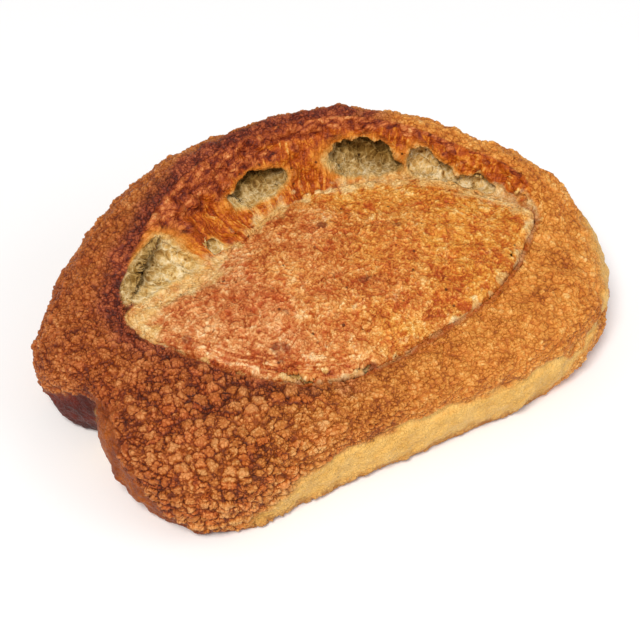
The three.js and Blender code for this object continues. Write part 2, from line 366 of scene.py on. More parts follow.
def raiseSkin(skin):
    # crags, swells, swirls and gaps, and the crevice under the front lip
    skin.grid = placed(skin, skin.reach, skin.height)
    skin.ragged = unevenGround(skin.bare, **raggedEdge)
    awayFromRim = 1 - calmRim["share"] * bell(skin.fromRim / calmRim["halfWidth"])
    lift = skin.outside * awayFromRim * unevenGround(skin.grid, **crags)
    lift = lift + (skin.stretchOf == "bloom")[:, None] * unevenGround(skin.grid, **swells)
    lift = lift + (1 - skin.torn) * unevenGround(skin.grid, **lumps)
    lift = lift + skin.torn * unevenGround(skin.grid, **tornLumps)
    offLip = np.abs(bearingBetween(skin.bearing, lipLine["bearing"])) / lipLine["halfWidth"]
    skin.underLip = 1 - smoothstep(offLip, lipLine["fadeFrom"], 1)
    lift = lift - lipLine["depth"] * skin.underLip * bell(skin.fromEdge / lipLine["halfHeight"])
    for one in gaps:
        across = bearingBetween(skin.bearing, one["bearing"]) / one["halfWidth"]
        distance = np.hypot(across, (skin.fromEdge - one["in"] + skin.ragged) / one["halfHeight"])
        lift = lift - one["depth"] * (1 - smoothstep(distance, *gapWall))
        skin.light = np.where(distance < skin.pocket, one["light"], skin.light)
        skin.pocket = np.minimum(skin.pocket, distance)
    for spot in swirls:
        away = fromSpot(skin, *spot)
        wave = np.cos(away * everySwirl["turns"] * 2 * math.pi)
        lift = lift + everySwirl["depth"] * wave * (1 - smoothstep(away, *everySwirl["fades"]))
    skin.scorch = 0 * skin.wide
    for spot in scorches:
        away = fromSpot(skin, *spot) + everyScorch["fray"] * skin.ragged
        skin.scorch = np.maximum(skin.scorch, 1 - smoothstep(away, *everyScorch["fades"]))
    lift = lift * smoothstep(skin.grid[..., 2], 0, flatSkirt)
    skin.grid = skin.grid + normalsOf(skin.grid) * lift[..., None]


# How the finish changes round the loaf. coarse: pebbles from fine 0 to coarse 1. tone: from mahogany 0 to
# gold 1. crest: how dark the crust is baked along the rim. mahogany: mm that the dark bake reaches down the
# torn face. layers: how far the bloom's edge shows stretched layers. cream: mm that the unbaked margin
# reaches into the bloom. paleTop and paleBottom: heights in mm between which the side stayed pale. skinTop:
# height up to which the two lobes have smooth skin. amber: that skin from purple brown 0, its own colour
# darkened by painted shade where it curves under, to amber 1.
finishAround = {
    "coarse": [[0, 0.0], [40, 0.1], [90, 0.2], [140, 0.3], [163, 0.5], [182, 0.75], [203, 1.0], [222, 1.0],
               [240, 0.65], [262, 0.3], [290, 0.1], [330, 0.0]],
    "tone": [[0, 1], [30, 1], [55, 0.7], [90, 0.4], [130, 0.2], [158, 0.05], [185, 0], [203, 0.05],
             [222, 0.3], [250, 0.55], [285, 0.8], [320, 0.95], [345, 1.0]],
    "crest": [[0, 0], [34, 0], [48, 0.45], [62, 1], [125, 1], [150, 0.95], [170, 0.8], [190, 0.5],
              [215, 0.55], [240, 0.45], [260, 0.15], [340, 0]],
    "mahogany": [[0, 0], [18, 1], [40, 6], [60, 9], [95, 14], [120, 19], [150, 14], [168, 8], [180, 3],
                 [200, 0], [340, 0]],
    "layers": [[0, 0.4], [20, 0.2], [60, 0], [160, 0], [182, 0.6], [200, 1], [232, 1], [250, 0.6],
               [285, 0.1], [325, 0.1], [345, 0.3]],
    "cream": [[0, 6], [15, 9], [30, 9], [50, 6], [64, 5], [75, 1.5], [88, 5], [100, 8], [118, 3], [130, 5],
              [150, 16], [163, 20], [172, 12], [182, 2], [200, 0.3], [225, 1.2], [250, 0.6], [300, 0.2],
              [330, 0.2], [345, 1.5], [355, 4]],
    "paleTop": [[0, 44], [12, 38], [24, 20], [38, 3], [60, 0], [130, 0], [176, 0], [181.5, 27], [187, 0],
                [218, 0], [228, 17], [238, 26], [255, 26], [275, 28], [298, 25], [317, 27], [323, 21],
                [331, 33], [340, 40], [350, 44.5]],
    "paleBottom": [[0, 32], [30, 16], [60, -9], [200, -9], [312, -9], [320, 12], [329, 25], [345, 31]],
    "skinTop": [[0, 0], [90, 0], [158, 0], [166, 20], [174, 28], [181, 38], [188, 41], [196, 35], [203, 26],
                [209, 14], [220, 4], [228, 0], [280, 0]],
    "amber": [[0, 0], [160, 0], [178, 0], [185, 1], [212, 1], [232, 0]],
}
# How those finishes end, in mm: from where to where each one fades, and by how much its border is frayed.
ends = {
    "paleTop": (4.5, 1.5),  # half its fade, the second one where the crease sharpens it
    "paleBottom": (-5, 3), "paleFray": 0.6,
    "skinTop": (-5, 2), "skinFray": 1.5,
    "none": (0.5, 8),  # heights of pale side or skin that are too low to count, and high enough
    "goldFoot": (4, 20), "goldFootShare": 0.6,
    "layersStart": (-1, 2), "layersEnd": (7, 17),
    "crestHalfWidth": 11,
    "mahogany": (0.55, 1.25), "mahoganyFray": 3, "mahoganyLeast": 0.1,
    "cream": 1.5, "creamFray": 2, "creamLeast": 0.4,
    "reliefStart": (0.3, 3.0),
}
flowRadius = 80  # mm of the round that the tear's patterns run along


def finishMaps(skin):
    # what relief and finish read at each point, heights and distances in mm
    around = {name: sizeAround(pairs, skin.bearing) for name, pairs in finishAround.items()}
    height = skin.grid[..., 2]
    soft = lerp(*ends["paleTop"], skin.overSide)
    uneven = skin.height + ends["paleFray"] * skin.ragged
    bottom, top = ends["paleBottom"]
    pale = 1 - smoothstep(uneven, around["paleTop"] - soft, around["paleTop"] + soft)
    pale = pale * smoothstep(uneven, around["paleBottom"] + bottom, around["paleBottom"] + top)
    uneven = skin.height + ends["skinFray"] * skin.ragged
    bottom, top = ends["skinTop"]
    smooth = 1 - smoothstep(uneven, around["skinTop"] + bottom, around["skinTop"] + top)
    down = np.maximum(around["mahogany"], ends["mahoganyLeast"])
    starts, stops = ends["mahogany"]
    uneven = skin.fromRim + ends["mahoganyFray"] * skin.ragged
    mahogany = 1 - smoothstep(uneven, starts * down, stops * down)
    into = ends["cream"] * np.maximum(around["cream"], ends["creamLeast"])
    layers = np.clip(around["layers"], 0, 1) * smoothstep(skin.fromEdge, *ends["layersStart"])
    layers = layers * (1 - smoothstep(skin.fromEdge, *ends["layersEnd"]))
    goldFoot = ends["goldFootShare"] * (1 - smoothstep(skin.height, *ends["goldFoot"]))
    flow = placed(skin, flowRadius * skin.wide, skin.fromEdge)
    return {
        "place": (skin.grid + skin.heart) * mm,
        "outward": normalsOf(skin.grid),
        "flow": flow * mm,
        "crust": skin.crust,
        "torn": skin.torn,
        "bloom": skin.bloom,
        "pocket": skin.pocket,
        # how pale the pockets' crumb is: partly its own colour, partly painted shade
        "light": skin.light,
        "outline": skin.outline,
        "pale": pale * smoothstep(around["paleTop"], *ends["none"]) * skin.outside,
        "skin": smooth * smoothstep(around["skinTop"], *ends["none"]) * skin.outside,
        "coarse": np.clip(around["coarse"], 0, 1) * skin.wide,
        "amber": np.clip(around["amber"], 0, 1) * skin.wide,
        "tone": np.clip(around["tone"] + goldFoot, 0, 1),
        "scorch": skin.scorch,
        "layers": layers,
        "crest": np.clip(around["crest"], 0, 1) * bell(skin.fromRim / ends["crestHalfWidth"]),
        "mahogany": mahogany,
        "cream": 1 - smoothstep(np.abs(skin.fromEdge) + ends["creamFray"] * skin.ragged, 0, into),
        "lip": skin.underLip * bell((skin.fromEdge - lipLine["shadeAt"]) / lipLine["shadeHalfHeight"]),
        "skirt": smoothstep(height, *ends["reliefStart"]),
        "rise": height,
    }


def shapeLoaf():
    skin = bareSkin()
    pressPockets(skin)
    dentSides(skin)
    raiseSkin(skin)
    points = skin.grid.reshape(-1, 3)
    shift = (np.array(cadBox[0]) + np.array(cadBox[1])) / 2 / mm - (points.min(0) + points.max(0)) / 2
    skin.heart = np.array([shift[0], shift[1], 0])
    return skin, finishMaps(skin)


hemDepth = 0.3  # mm that the bloom's hem lies under the torn face


def bandMesh(name, maps, rows, step):
    # a band of rings as one mesh, its first or last ring closed by a fan where the loaf begins or ends
    band = {key: values[rows, ::step] for key, values in maps.items()}
    if name == "bloom":
        band["place"][0] -= hemDepth * mm * band["outward"][0]
    place = band["place"]
    count, wide = place.shape[:2]
    ring, column = np.meshgrid(np.arange(count - 1), np.arange(wide), indexing="ij")
    low, following = ring * wide, (column + 1) % wide
    faces = np.stack([low + column, low + following, low + wide + following, low + wide + column], -1)
    faces = faces.reshape(-1, 4).tolist()
    around, after = np.arange(wide), (np.arange(wide) + 1) % wide
    last = (count - 1) * wide
    hub = count * wide
    closed = []
    if rows.start == 0:
        faces += np.stack([0 * around + hub, after, around], -1).tolist()
        closed.append(0)
    if rows.stop == len(maps["place"]):
        faces += np.stack([last + around, last + after, 0 * around + hub], -1).tolist()
        closed.append(-1)
    mesh = bpy.data.meshes.new(name)
    for key, values in band.items():
        flat = values.reshape(-1, *values.shape[2:])
        hubs = [values[end].mean(axis=0)[None] for end in closed]
        flat = np.concatenate([flat] + hubs).astype(np.float32)
        if key == "place":
            mesh.from_pydata(flat.tolist(), [], faces)
        if flat.ndim == 2:
            mesh.attributes.new(key, "FLOAT_VECTOR", "POINT").data.foreach_set("vector", flat.ravel())
        else:
            mesh.attributes.new(key, "FLOAT", "POINT").data.foreach_set("value", flat)
    mesh.shade_smooth()
    made = bpy.data.objects.new(name, mesh)
    bpy.context.collection.objects.link(made)
    print("band", name, "triangles", sum(len(face) - 2 for face in faces))
    return made


def makeBands(maps, stretchOf):
    # the skin in bands that share their border rings, so that no one mesh holds all of the triangles
    lastOf = {stretch: np.flatnonzero(stretchOf == stretch)[-1] for stretch in rings}
    middle = (lastOf["foot"] + lastOf["shoulder"]) // 2
    lastRings = {"bakedFoot": lastOf["foot"], "crustSide": middle, "crustShoulder": lastOf["shoulder"],
                 "tornFace": lastOf["tornFace"], "bloom": lastOf["bloom"]}
    made, first = [], 0
    for name, last in lastRings.items():
        isBloom = name == "bloom"
        made.append(bandMesh(name, maps, slice(first - isBloom, last + 1), 2 if isBloom else 1))
        first = last
    return made


print("shaping the loaf")
skin, maps = shapeLoaf()
bands = makeBands(maps, skin.stretchOf)


def srgb(code):
    # sRGB hex to linear
    values = [int(code[i:i + 2], 16) / 255 for i in (1, 3, 5)]
    return [v / 12.92 if v <= 0.04045 else ((v + 0.055) / 1.055) ** 2.4 for v in values] + [1.0]


def addNode(tree, kind, inputs=None, out=0, stops=None, **settings):
    # one node with its settings, its inputs as values or sockets to link, and any colour stops;
    # gives the output socket asked for
    made = tree.nodes.new(kind)
    for name, value in settings.items():
        setattr(made, name, value)
    for key, value in (inputs or {}).items():
        if isinstance(value, bpy.types.NodeSocket):
            tree.links.new(value, made.inputs[key])
        else:
            made.inputs[key].default_value = value
    for index, (position, colour) in enumerate(stops or []):
        elements = made.color_ramp.elements
        element = elements[index] if index < len(elements) else elements.new(position)
        element.position = position
        element.color = srgb(colour)
    return made.outputs[out]


# The bread's texture in cells, sizes in mm: pebbles of crust, crinkles of the bloom's skin, flakes of the
# torn face and bubbles of the crumb. on: the map they lie on. wobble: how wavy their borders are. wide: how
# far each dome reaches, and lower is rounder.
cellKinds = {
    "coarsePebble": {"on": "pebbled", "size": 4.4, "seed": 1.0, "wobble": 0.9, "wide": 1.0},
    "pebble": {"on": "pebbled", "size": 2.8, "seed": 2.0, "wobble": 0.9, "wide": 1.0},
    "finePebble": {"on": "place", "size": 1.7, "seed": 3.0, "wobble": 1.0, "wide": 1.15},
    "crinkle": {"on": "place", "size": 3.4, "seed": 4.0, "wobble": 2.2, "wide": 1.15},
    "flake": {"on": "flow", "size": 3.0, "seed": 5.0, "wobble": 1.6, "wide": 1.15},
    "bubble": {"on": "place", "size": 3.4, "seed": 6.0, "wobble": 1.0, "wide": 1.15},
}
everyCell = {"drift": 1.1, "driftDetail": 1.5, "crevice": 0.21, "top": 0.25}
pebbleSquash = (0.82, 0.82, 1.3)  # pebbles are flatter than wide
drawnKinds = {
    "rimShred": {"long": 5.4, "thin": 2.9, "seed": 1.0, "detail": 4},
    "hangingShred": {"long": 2.0, "thin": 9.0, "seed": 2.0, "detail": 4},
    "layer": {"long": 20.0, "thin": 3.2, "seed": 3.0, "detail": 3},
    "strand": {"long": 2.0, "thin": 9.0, "seed": 4.0, "detail": 4},
}
foldSize = 6.0  # mm of the folds in which the bloom's skin crumpled as it rose
crumbBorder = (1.02, 0.86)  # distance from a pocket's middle at which its crumb starts and is all there is
vectorMaps = ["place", "flow", "outward"]


def cells(tree, place, size, seed, wobble, wide):
    # cells about size mm across with wavy borders: a dome for each, from 0 in the crevice between two of
    # them to 1 on top, and two random values
    add = functools.partial(addNode, tree)
    scale = 1 / (size * mm)
    drift = add("ShaderNodeTexNoise", {"Vector": place, "W": seed, "Scale": everyCell["drift"] * scale,
                                       "Detail": everyCell["driftDetail"]}, "Color", noise_dimensions="4D")
    bent = add("ShaderNodeVectorMath", {0: drift, 1: (wobble * size * mm,) * 3, 2: place},
               operation="MULTIPLY_ADD")
    edge = add("ShaderNodeTexVoronoi", {"Vector": bent, "Scale": scale}, feature="DISTANCE_TO_EDGE")
    centre = add("ShaderNodeTexVoronoi", {"Vector": bent, "Scale": scale}, feature="F1")
    inward = add("ShaderNodeMapRange", {0: edge, 1: 0.0, 2: everyCell["crevice"], 3: 1.0, 4: 0.0})
    crevice = add("ShaderNodeMath", {0: inward, 1: inward}, operation="MULTIPLY")
    dome = add("ShaderNodeMapRange", {0: centre, 1: wide, 2: everyCell["top"]},
               interpolation_type="SMOOTHSTEP")
    dome = add("ShaderNodeMath", {0: dome, 1: crevice}, operation="SUBTRACT", use_clamp=True)
    chance = add("ShaderNodeSeparateXYZ", {0: centre.node.outputs["Color"]})
    return dome, chance, chance.node.outputs[1]


def drawnOut(tree, flow, long, thin, seed, detail):
    # noise drawn out to long mm along the tear and thin mm across it, or the other way round
    stretch = (1 / (long * mm), 1 / (long * mm), 1 / (thin * mm))
    stretched = addNode(tree, "ShaderNodeVectorMath", {0: flow, 1: stretch}, operation="MULTIPLY")
    return addNode(tree, "ShaderNodeTexNoise", {"Vector": stretched, "W": seed, "Scale": 1.0,
                                                "Detail": detail, "Roughness": 0.6, "Distortion": 0.6},
                   noise_dimensions="4D")


def breadPatterns(tree, read):
    # the maps and every pattern drawn on them; relief and colour both call this, so that they agree
    at = dict(read)
    at["pebbled"] = addNode(tree, "ShaderNodeVectorMath", {0: at["place"], 1: pebbleSquash},
                            operation="MULTIPLY")
    for name, kind in cellKinds.items():
        settings = {key: value for key, value in kind.items() if key != "on"}
        at[name], at[name + "Tint"], at[name + "Hue"] = cells(tree, at[kind["on"]], **settings)
    for name, kind in drawnKinds.items():
        at[name] = drawnOut(tree, at["flow"], **kind)
    # shreds lie along the rim above, and hang down to the bloom below
    at["shred"] = addNode(tree, "ShaderNodeMix", {0: at["mahogany"], 2: at["hangingShred"],
                                                  3: at["rimShred"]})
    at["fold"] = addNode(tree, "ShaderNodeTexNoise", {"Vector": at["place"], "Scale": 1 / (foldSize * mm),
                                                      "Detail": 4, "Roughness": 0.6, "Distortion": 2.4})
    starts, full = crumbBorder
    at["crumb"] = addNode(tree, "ShaderNodeMapRange", {0: at["pocket"], 1: starts, 2: full},
                          interpolation_type="SMOOTHSTEP")
    return at


relief = {
    "Coarse pebble height": 1.7, "Pebble height": 0.75, "Fine pebble height": 0.35, "Crinkle height": 0.5,
    "Crumple height": 0.35, "Fold height": 2.6, "Flake height": 0.4, "Shred height": 2.4,
    "Layer height": 1.8, "Bubble depth": 1.4, "Sink": 0.9,
}
cellSizes = (0.4, 1.25)  # the lowest and the highest cells of a kind, as shares of its height
smoothRelief = 0.34  # what is left of the relief where skin or side stayed smooth
paleFootHeight = (2.0, 9.0)  # mm between which the pale side turns smooth


def reliefTree(crustMaterial):
    # pebbles, crinkles, flakes and bubbles as real relief on the skin
    tree = bpy.data.node_groups.new("breadRelief", "GeometryNodeTree")
    add = functools.partial(addNode, tree)
    tree.interface.new_socket("Geometry", in_out="INPUT", socket_type="NodeSocketGeometry")
    tree.interface.new_socket("Geometry", in_out="OUTPUT", socket_type="NodeSocketGeometry")
    kinds = {name: "NodeSocketFloat" for name in relief} | {"Crust": "NodeSocketMaterial"}
    sockets = {name: tree.interface.new_socket(name, in_out="INPUT", socket_type=kind).identifier
               for name, kind in kinds.items()}
    entry = tree.nodes.new("NodeGroupInput").outputs
    read = {name: add("GeometryNodeInputNamedAttribute", {"Name": name},
                      data_type="FLOAT_VECTOR" if name in vectorMaps else "FLOAT") for name in maps}
    at = breadPatterns(tree, read)

    starts, full = paleFootHeight
    paleSide = add("ShaderNodeMapRange", {0: at["rise"], 1: starts, 2: full})
    paleSide = add("ShaderNodeMath", {0: paleSide, 1: at["pale"]}, operation="MULTIPLY")
    smooth = add("ShaderNodeMath", {0: at["skin"], 1: paleSide}, operation="MAXIMUM")
    rough = add("ShaderNodeMapRange", {0: smooth, 1: 1.0, 2: 0.0, 3: smoothRelief, 4: 1.0})
    bark = add("ShaderNodeMath", {0: rough, 1: at["crust"]}, operation="MULTIPLY")
    coarseBark = add("ShaderNodeMath", {0: bark, 1: at["coarse"]}, operation="MULTIPLY")
    notCrumb = add("ShaderNodeMath", {0: 1.0, 1: at["crumb"]}, operation="SUBTRACT")
    face = add("ShaderNodeMath", {0: at["torn"], 1: notCrumb}, operation="MULTIPLY")
    top = add("ShaderNodeMath", {0: at["bloom"], 1: notCrumb}, operation="MULTIPLY")
    sunken = add("ShaderNodeMath", {0: at["crumb"], 1: -1.0}, operation="MULTIPLY")
    # each height with its pattern and where it lies
    raised = [
        ("Shred height", "shred", face), ("Fold height", "fold", top),
        ("Layer height", "layer", at["layers"]), ("Coarse pebble height", "coarsePebble", coarseBark),
        ("Pebble height", "pebble", bark), ("Fine pebble height", "finePebble", bark),
        ("Crinkle height", "crinkle", top), ("Crumple height", "finePebble", top),
        ("Flake height", "flake", face), ("Bubble depth", "bubble", sunken),
    ]
    total = add("ShaderNodeMath", {0: entry["Sink"], 1: -1.0}, operation="MULTIPLY")
    for name, pattern, share in raised:
        height = add("ShaderNodeMath", {0: at[pattern], 1: share}, operation="MULTIPLY")
        if pattern in cellKinds:
            lowest, highest = cellSizes
            size = add("ShaderNodeMapRange", {0: at[pattern + "Tint"], 3: lowest, 4: highest})
            height = add("ShaderNodeMath", {0: height, 1: size}, operation="MULTIPLY")
        total = add("ShaderNodeMath", {0: height, 1: entry[name], 2: total}, operation="MULTIPLY_ADD")
    total = add("ShaderNodeMath", {0: total, 1: at["skirt"]}, operation="MULTIPLY")
    total = add("ShaderNodeMath", {0: total, 1: mm}, operation="MULTIPLY")
    offset = add("ShaderNodeVectorMath", {0: at["outward"], "Scale": total}, operation="SCALE")
    moved = add("GeometryNodeSetPosition", {"Geometry": entry["Geometry"], "Offset": offset})
    real = add("GeometryNodeRealizeInstances", {"Geometry": moved})
    finished = add("GeometryNodeSetMaterial", {"Geometry": real, "Material": entry["Crust"]})
    tree.links.new(finished, tree.nodes.new("NodeGroupOutput").inputs["Geometry"])
    values = {sockets[name]: height for name, height in relief.items()}
    values[sockets["Crust"]] = crustMaterial
    return tree, values


def raiseRelief(made, tree, values):
    modifier = made.modifiers.new("relief", "NODES")
    modifier.node_group = tree
    for socket, value in values.items():
        modifier[socket] = value
    evaluated = made.evaluated_get(bpy.context.evaluated_depsgraph_get())
    plain = made.data
    made.data = bpy.data.meshes.new_from_object(evaluated)
    made.modifiers.clear()
    bpy.data.meshes.remove(plain)
    made.data.name = made.name


def addUp(tree, at, shares):
    # how light a surface is: its patterns added up by their shares, on top of start
    total = shares["start"]
    for name, share in shares.items():
        if name != "start":
            total = addNode(tree, "ShaderNodeMath", {0: at[name], 1: share, 2: total},
                            operation="MULTIPLY_ADD")
    return total


def frayed(tree, at, where, pattern, by, low, high, most=1.0):
    # how far a layer covers: its map frayed by a pattern, nothing at low and most at high
    rough = addNode(tree, "ShaderNodeMath", {0: at[pattern], 1: by, 2: at[where]}, operation="MULTIPLY_ADD")
    return addNode(tree, "ShaderNodeMapRange", {0: rough, 1: low, 2: high, 3: 0.0, 4: most})


def spread(values):
    # inputs of a range: from the first two values to the last two, or to 0 and 1
    return dict(enumerate(values, 1))


def laidOver(tree, colour, *layers):
    # layers of (share, colour), each over the ones before it; a third word says how it blends
    for share, over, *blend in layers:
        inputs = {0: share, 6: colour, 7: srgb(over) if isinstance(over, str) else over}
        colour = addNode(tree, "ShaderNodeMix", inputs, 2, data_type="RGBA",
                         blend_type=blend[0] if blend else "MIX")
    return colour


# Dull dry crust. Pairs hold the value on fine and on coarse pebbles.
crustLook = {
    "dark": [(0.0, "#361001"), (0.25, "#662403"), (0.5, "#934511"), (0.75, "#b3632a"), (1.0, "#ce864c")],
    "gold": [(0.0, "#582504"), (0.25, "#9e5213"), (0.5, "#ca7b2a"), (0.75, "#e39c46"), (1.0, "#f5c87c")],
    "crest": [(0.0, "#220805"), (0.35, "#4e190b"), (0.6, "#7c3118"), (1.0, "#ba6234")],
    "ember": "#ffd6b8",
    "shares": {"start": -0.3, "raised": 1.0, "patch": 0.9, "mottle": 0.55, "tint": 0.22,
               "finePebbleTint": 0.1},
    "fineShare": 0.4, "roundTop": 0.85, "emberFrom": (0.5, 0.95),
    # how far a dome's height lightens its top and darkens the crack round it: partly the crust's own colour,
    # partly painted highlight and painted shade
    "usualHeight": (0.6, 0.57), "domeShadeAndHighlight": (0.28, 0.66), "emberShare": (0.3, 0.65),
    "baked": {"where": "crest", "pattern": "patch", "by": 1.6, "low": 1.05, "high": 1.6},
    "pale": [(0.0, "#c48130"), (0.4, "#dca852"), (0.6, "#eabc6a"), (1.0, "#f6d592")],
    "paleFoot": "#a65f20",
    "paleShares": {"start": -0.05, "mottle": 0.5, "patch": 0.6},
    "foot": {"where": "rise", "pattern": "mottle", "by": 9.0, "low": 12.5, "high": 6.0, "most": 0.85},
    # the lobes' smooth skin: its own colour, darker with painted shade where it curves under
    "skin": [(0.0, "#200501"), (0.4, "#460c00"), (0.6, "#621701"), (1.0, "#8f3a08")],
    "skinShares": {"start": 0.0, "patch": 0.9, "grain": 0.15},
    "amber": [(0.0, "#521b04"), (0.4, "#863c0b"), (0.6, "#a85818"), (1.0, "#d48f3a")],
    "amberShares": {"start": -0.22, "patch": 0.9, "grain": 0.15, "mottle": 0.4},
}


def crustColour(tree, at):
    # dark in the cracks and pale on the pebbles, partly their own colour and partly painted shade in the
    # cracks and painted highlight on the tops, in patches of lighter and darker bake
    add = functools.partial(addNode, tree)
    coarse = at["coarse"]
    kinds = [(at["pebble" + kind], at["coarsePebble" + kind]) for kind in ("", "Tint", "Hue")]
    dome, tint, hue = [add("ShaderNodeMix", {0: coarse, 2: small, 3: large}) for small, large in kinds]
    pairs = [crustLook[name] for name in ("usualHeight", "domeShadeAndHighlight", "emberShare")]
    usual, domeShadeAndHighlight, red = [add("ShaderNodeMapRange", {0: coarse, 3: low, 4: high}) for low, high in pairs]
    dome = add("ShaderNodeMix", {0: crustLook["fineShare"], 2: dome, 3: at["finePebble"]})
    dome = add("ShaderNodeMapRange", {0: dome, 1: 0.0, 2: crustLook["roundTop"]},
               interpolation_type="SMOOTHSTEP")
    # painted shade in the cracks and painted highlight on the domes, over the crust's own colour
    raised = add("ShaderNodeMath", {0: dome, 1: usual}, operation="SUBTRACT")
    raised = add("ShaderNodeMath", {0: raised, 1: domeShadeAndHighlight}, operation="MULTIPLY")
    value = addUp(tree, at | {"raised": raised, "tint": tint}, crustLook["shares"])
    dark, gold, crest = [add("ShaderNodeValToRGB", {0: value}, stops=crustLook[name])
                         for name in ("dark", "gold", "crest")]
    ember = add("ShaderNodeMapRange", {0: hue} | spread(crustLook["emberFrom"]))
    ember = add("ShaderNodeMath", {0: ember, 1: red}, operation="MULTIPLY")
    baked = frayed(tree, at, **crustLook["baked"])

    # smooth skin under the lobes, darker partly from painted shade where it curves under, and the pale side
    # that the oven's heat reached least
    values = {name: addUp(tree, at, crustLook[name + "Shares"]) for name in ("skin", "amber", "pale")}
    skin, amber, pale = [add("ShaderNodeValToRGB", {0: value}, stops=crustLook[name])
                         for name, value in values.items()]
    skin = laidOver(tree, skin, (at["amber"], amber))
    pale = laidOver(tree, pale, (frayed(tree, at, **crustLook["foot"]), crustLook["paleFoot"]))
    return laidOver(tree, dark, (at["tone"], gold), (ember, crustLook["ember"], "MULTIPLY"), (baked, crest),
                    (at["skin"], skin), (at["pale"], pale))


tornLook = {
    "mahogany": [(0.0, "#310c05"), (0.3, "#6d2207"), (0.5, "#9f4717"), (0.7, "#c87036"), (1.0, "#efb270")],
    "gold": [(0.0, "#6b2201"), (0.3, "#9c4004"), (0.5, "#b8560a"), (0.7, "#da8424"), (1.0, "#f8cf7c")],
    "veil": [(0.0, "#a5762f"), (0.4, "#cda355"), (0.7, "#e3c27c"), (1.0, "#f4dfa9")],
    "pocketRim": "#dc8a2a",
    "shares": {"start": -0.55, "flake": 0.2, "shred": 1.75, "flakeTint": 0.12},
    "wet": {"where": "mahogany", "pattern": "shred", "by": 1.4, "low": 1.0, "high": 1.4},
    "glow": {"where": "outline", "pattern": "shred", "by": -0.7, "low": 1.05, "high": 0.7, "most": 0.75},
    "thin": {"where": "outline", "pattern": "shred", "by": -0.4, "low": 0.92, "high": 0.72},
}


def tornColour(tree, at):
    # mahogany and shredded by the rim, golden below, orange round the pockets, and a pale veil of skin that
    # stretched over their edges
    value = addUp(tree, at, tornLook["shares"])
    mahogany, gold, veil = [addNode(tree, "ShaderNodeValToRGB", {0: value}, stops=tornLook[name])
                            for name in ("mahogany", "gold", "veil")]
    wet, glow, thin = [frayed(tree, at, **tornLook[name]) for name in ("wet", "glow", "thin")]
    return laidOver(tree, gold, (wet, mahogany), (glow, tornLook["pocketRim"]), (thin, veil))


bloomLook = {
    "gold": [(0.0, "#7a2e02"), (0.25, "#b4560e"), (0.5, "#d98b2c"), (0.72, "#edae50"), (1.0, "#ffda90")],
    "pink": [(0.0, "#762c08"), (0.25, "#ab501e"), (0.5, "#cf7f42"), (0.72, "#e8a86a"), (1.0, "#fcd6a0")],
    "cream": [(0.0, "#bf8238"), (0.4, "#e3b66a"), (1.0, "#f7dfa8")],
    "warmth": "#ffd6b8", "blush": "#ac450c", "scorch": "#742809",
    "shares": {"start": -1.25, "finePebble": 0.15, "patch": 1.0, "fold": 1.6, "mottle": 0.55,
               "crinkleTint": 0.12, "grain": 0.12, "layered": 1.0},
    "layerShares": {"start": -1.5, "layer": 3.0},
    "huePatch": 34.0, "goldAlongLoaf": 6.0, "hueFrom": (0.25, 0.75),  # mm, and goldener per metre along +X
    "blushPatch": 7.0, "warm": (0.5, 0.66, 0.0, 0.8), "blushed": (0.42, 0.68, 0.1, 0.9),
    "creased": (0.75, 0.1, 0.0, 1.0), "burnt": (0.2, 0.55, 0.0, 0.85),
    "bare": {"where": "cream", "pattern": "mottle", "by": 1.6, "low": 1.05, "high": 1.8, "most": 0.85},
}


def bloomColour(tree, at, bare, cream):
    # crumpled golden skin, redder in its creases, pale where it pulled away last
    add = functools.partial(addNode, tree)
    gold, pink = [add("ShaderNodeValToRGB", {0: at["bloomValue"]}, stops=bloomLook[name])
                  for name in ("gold", "pink")]
    hue = add("ShaderNodeTexNoise", {"Vector": at["place"], "Scale": 1 / (bloomLook["huePatch"] * mm),
                                     "Detail": 4})
    along = add("ShaderNodeSeparateXYZ", {0: at["place"]}, "X")
    hue = add("ShaderNodeMath", {0: along, 1: bloomLook["goldAlongLoaf"], 2: hue}, operation="MULTIPLY_ADD")
    hue = add("ShaderNodeMapRange", {0: hue} | spread(bloomLook["hueFrom"]))
    blush = add("ShaderNodeTexNoise", {"Vector": at["place"], "W": 3.0, "Detail": 4, "Roughness": 0.7,
                                       "Scale": 1 / (bloomLook["blushPatch"] * mm)}, noise_dimensions="4D")
    warm = add("ShaderNodeMapRange", {0: blush} | spread(bloomLook["warm"]))
    blushed = add("ShaderNodeMapRange", {0: blush} | spread(bloomLook["blushed"]))
    crease = add("ShaderNodeMapRange", {0: at["crinkle"]} | spread(bloomLook["creased"]))
    crease = add("ShaderNodeMath", {0: crease, 1: blushed}, operation="MULTIPLY")
    burnt = add("ShaderNodeMath", {0: at["scorch"], 1: at["mottle"]}, operation="MULTIPLY")
    burnt = add("ShaderNodeMapRange", {0: burnt} | spread(bloomLook["burnt"]))
    return laidOver(tree, pink, (hue, gold), (warm, bloomLook["warmth"], "MULTIPLY"),
                    (crease, bloomLook["blush"]), (bare, cream), (burnt, bloomLook["scorch"]))


crumbLook = {
    # dark: crumb where the pocket is darker, partly painted shade; light: where it is paler
    "dark": [(0.0, "#321a03"), (0.3, "#65440f"), (0.6, "#8e6a2d"), (1.0, "#c8a562")],
    "light": [(0.0, "#764c1c"), (0.25, "#b28644"), (0.5, "#d7b36f"), (1.0, "#f8e6bb")],
    # darker in the bubbles' hollows and in their small holes: painted shade
    "shares": {"start": -0.1, "wall": -0.45, "mottle": 1.0, "strand": 0.8, "hole": -1.0},
    "fineShare": 0.35,
    "smallBubble": 2.0, "hole": (0.1, 0.34, 0.5, 0.0),  # mm, and how dark from its middle outwards
}


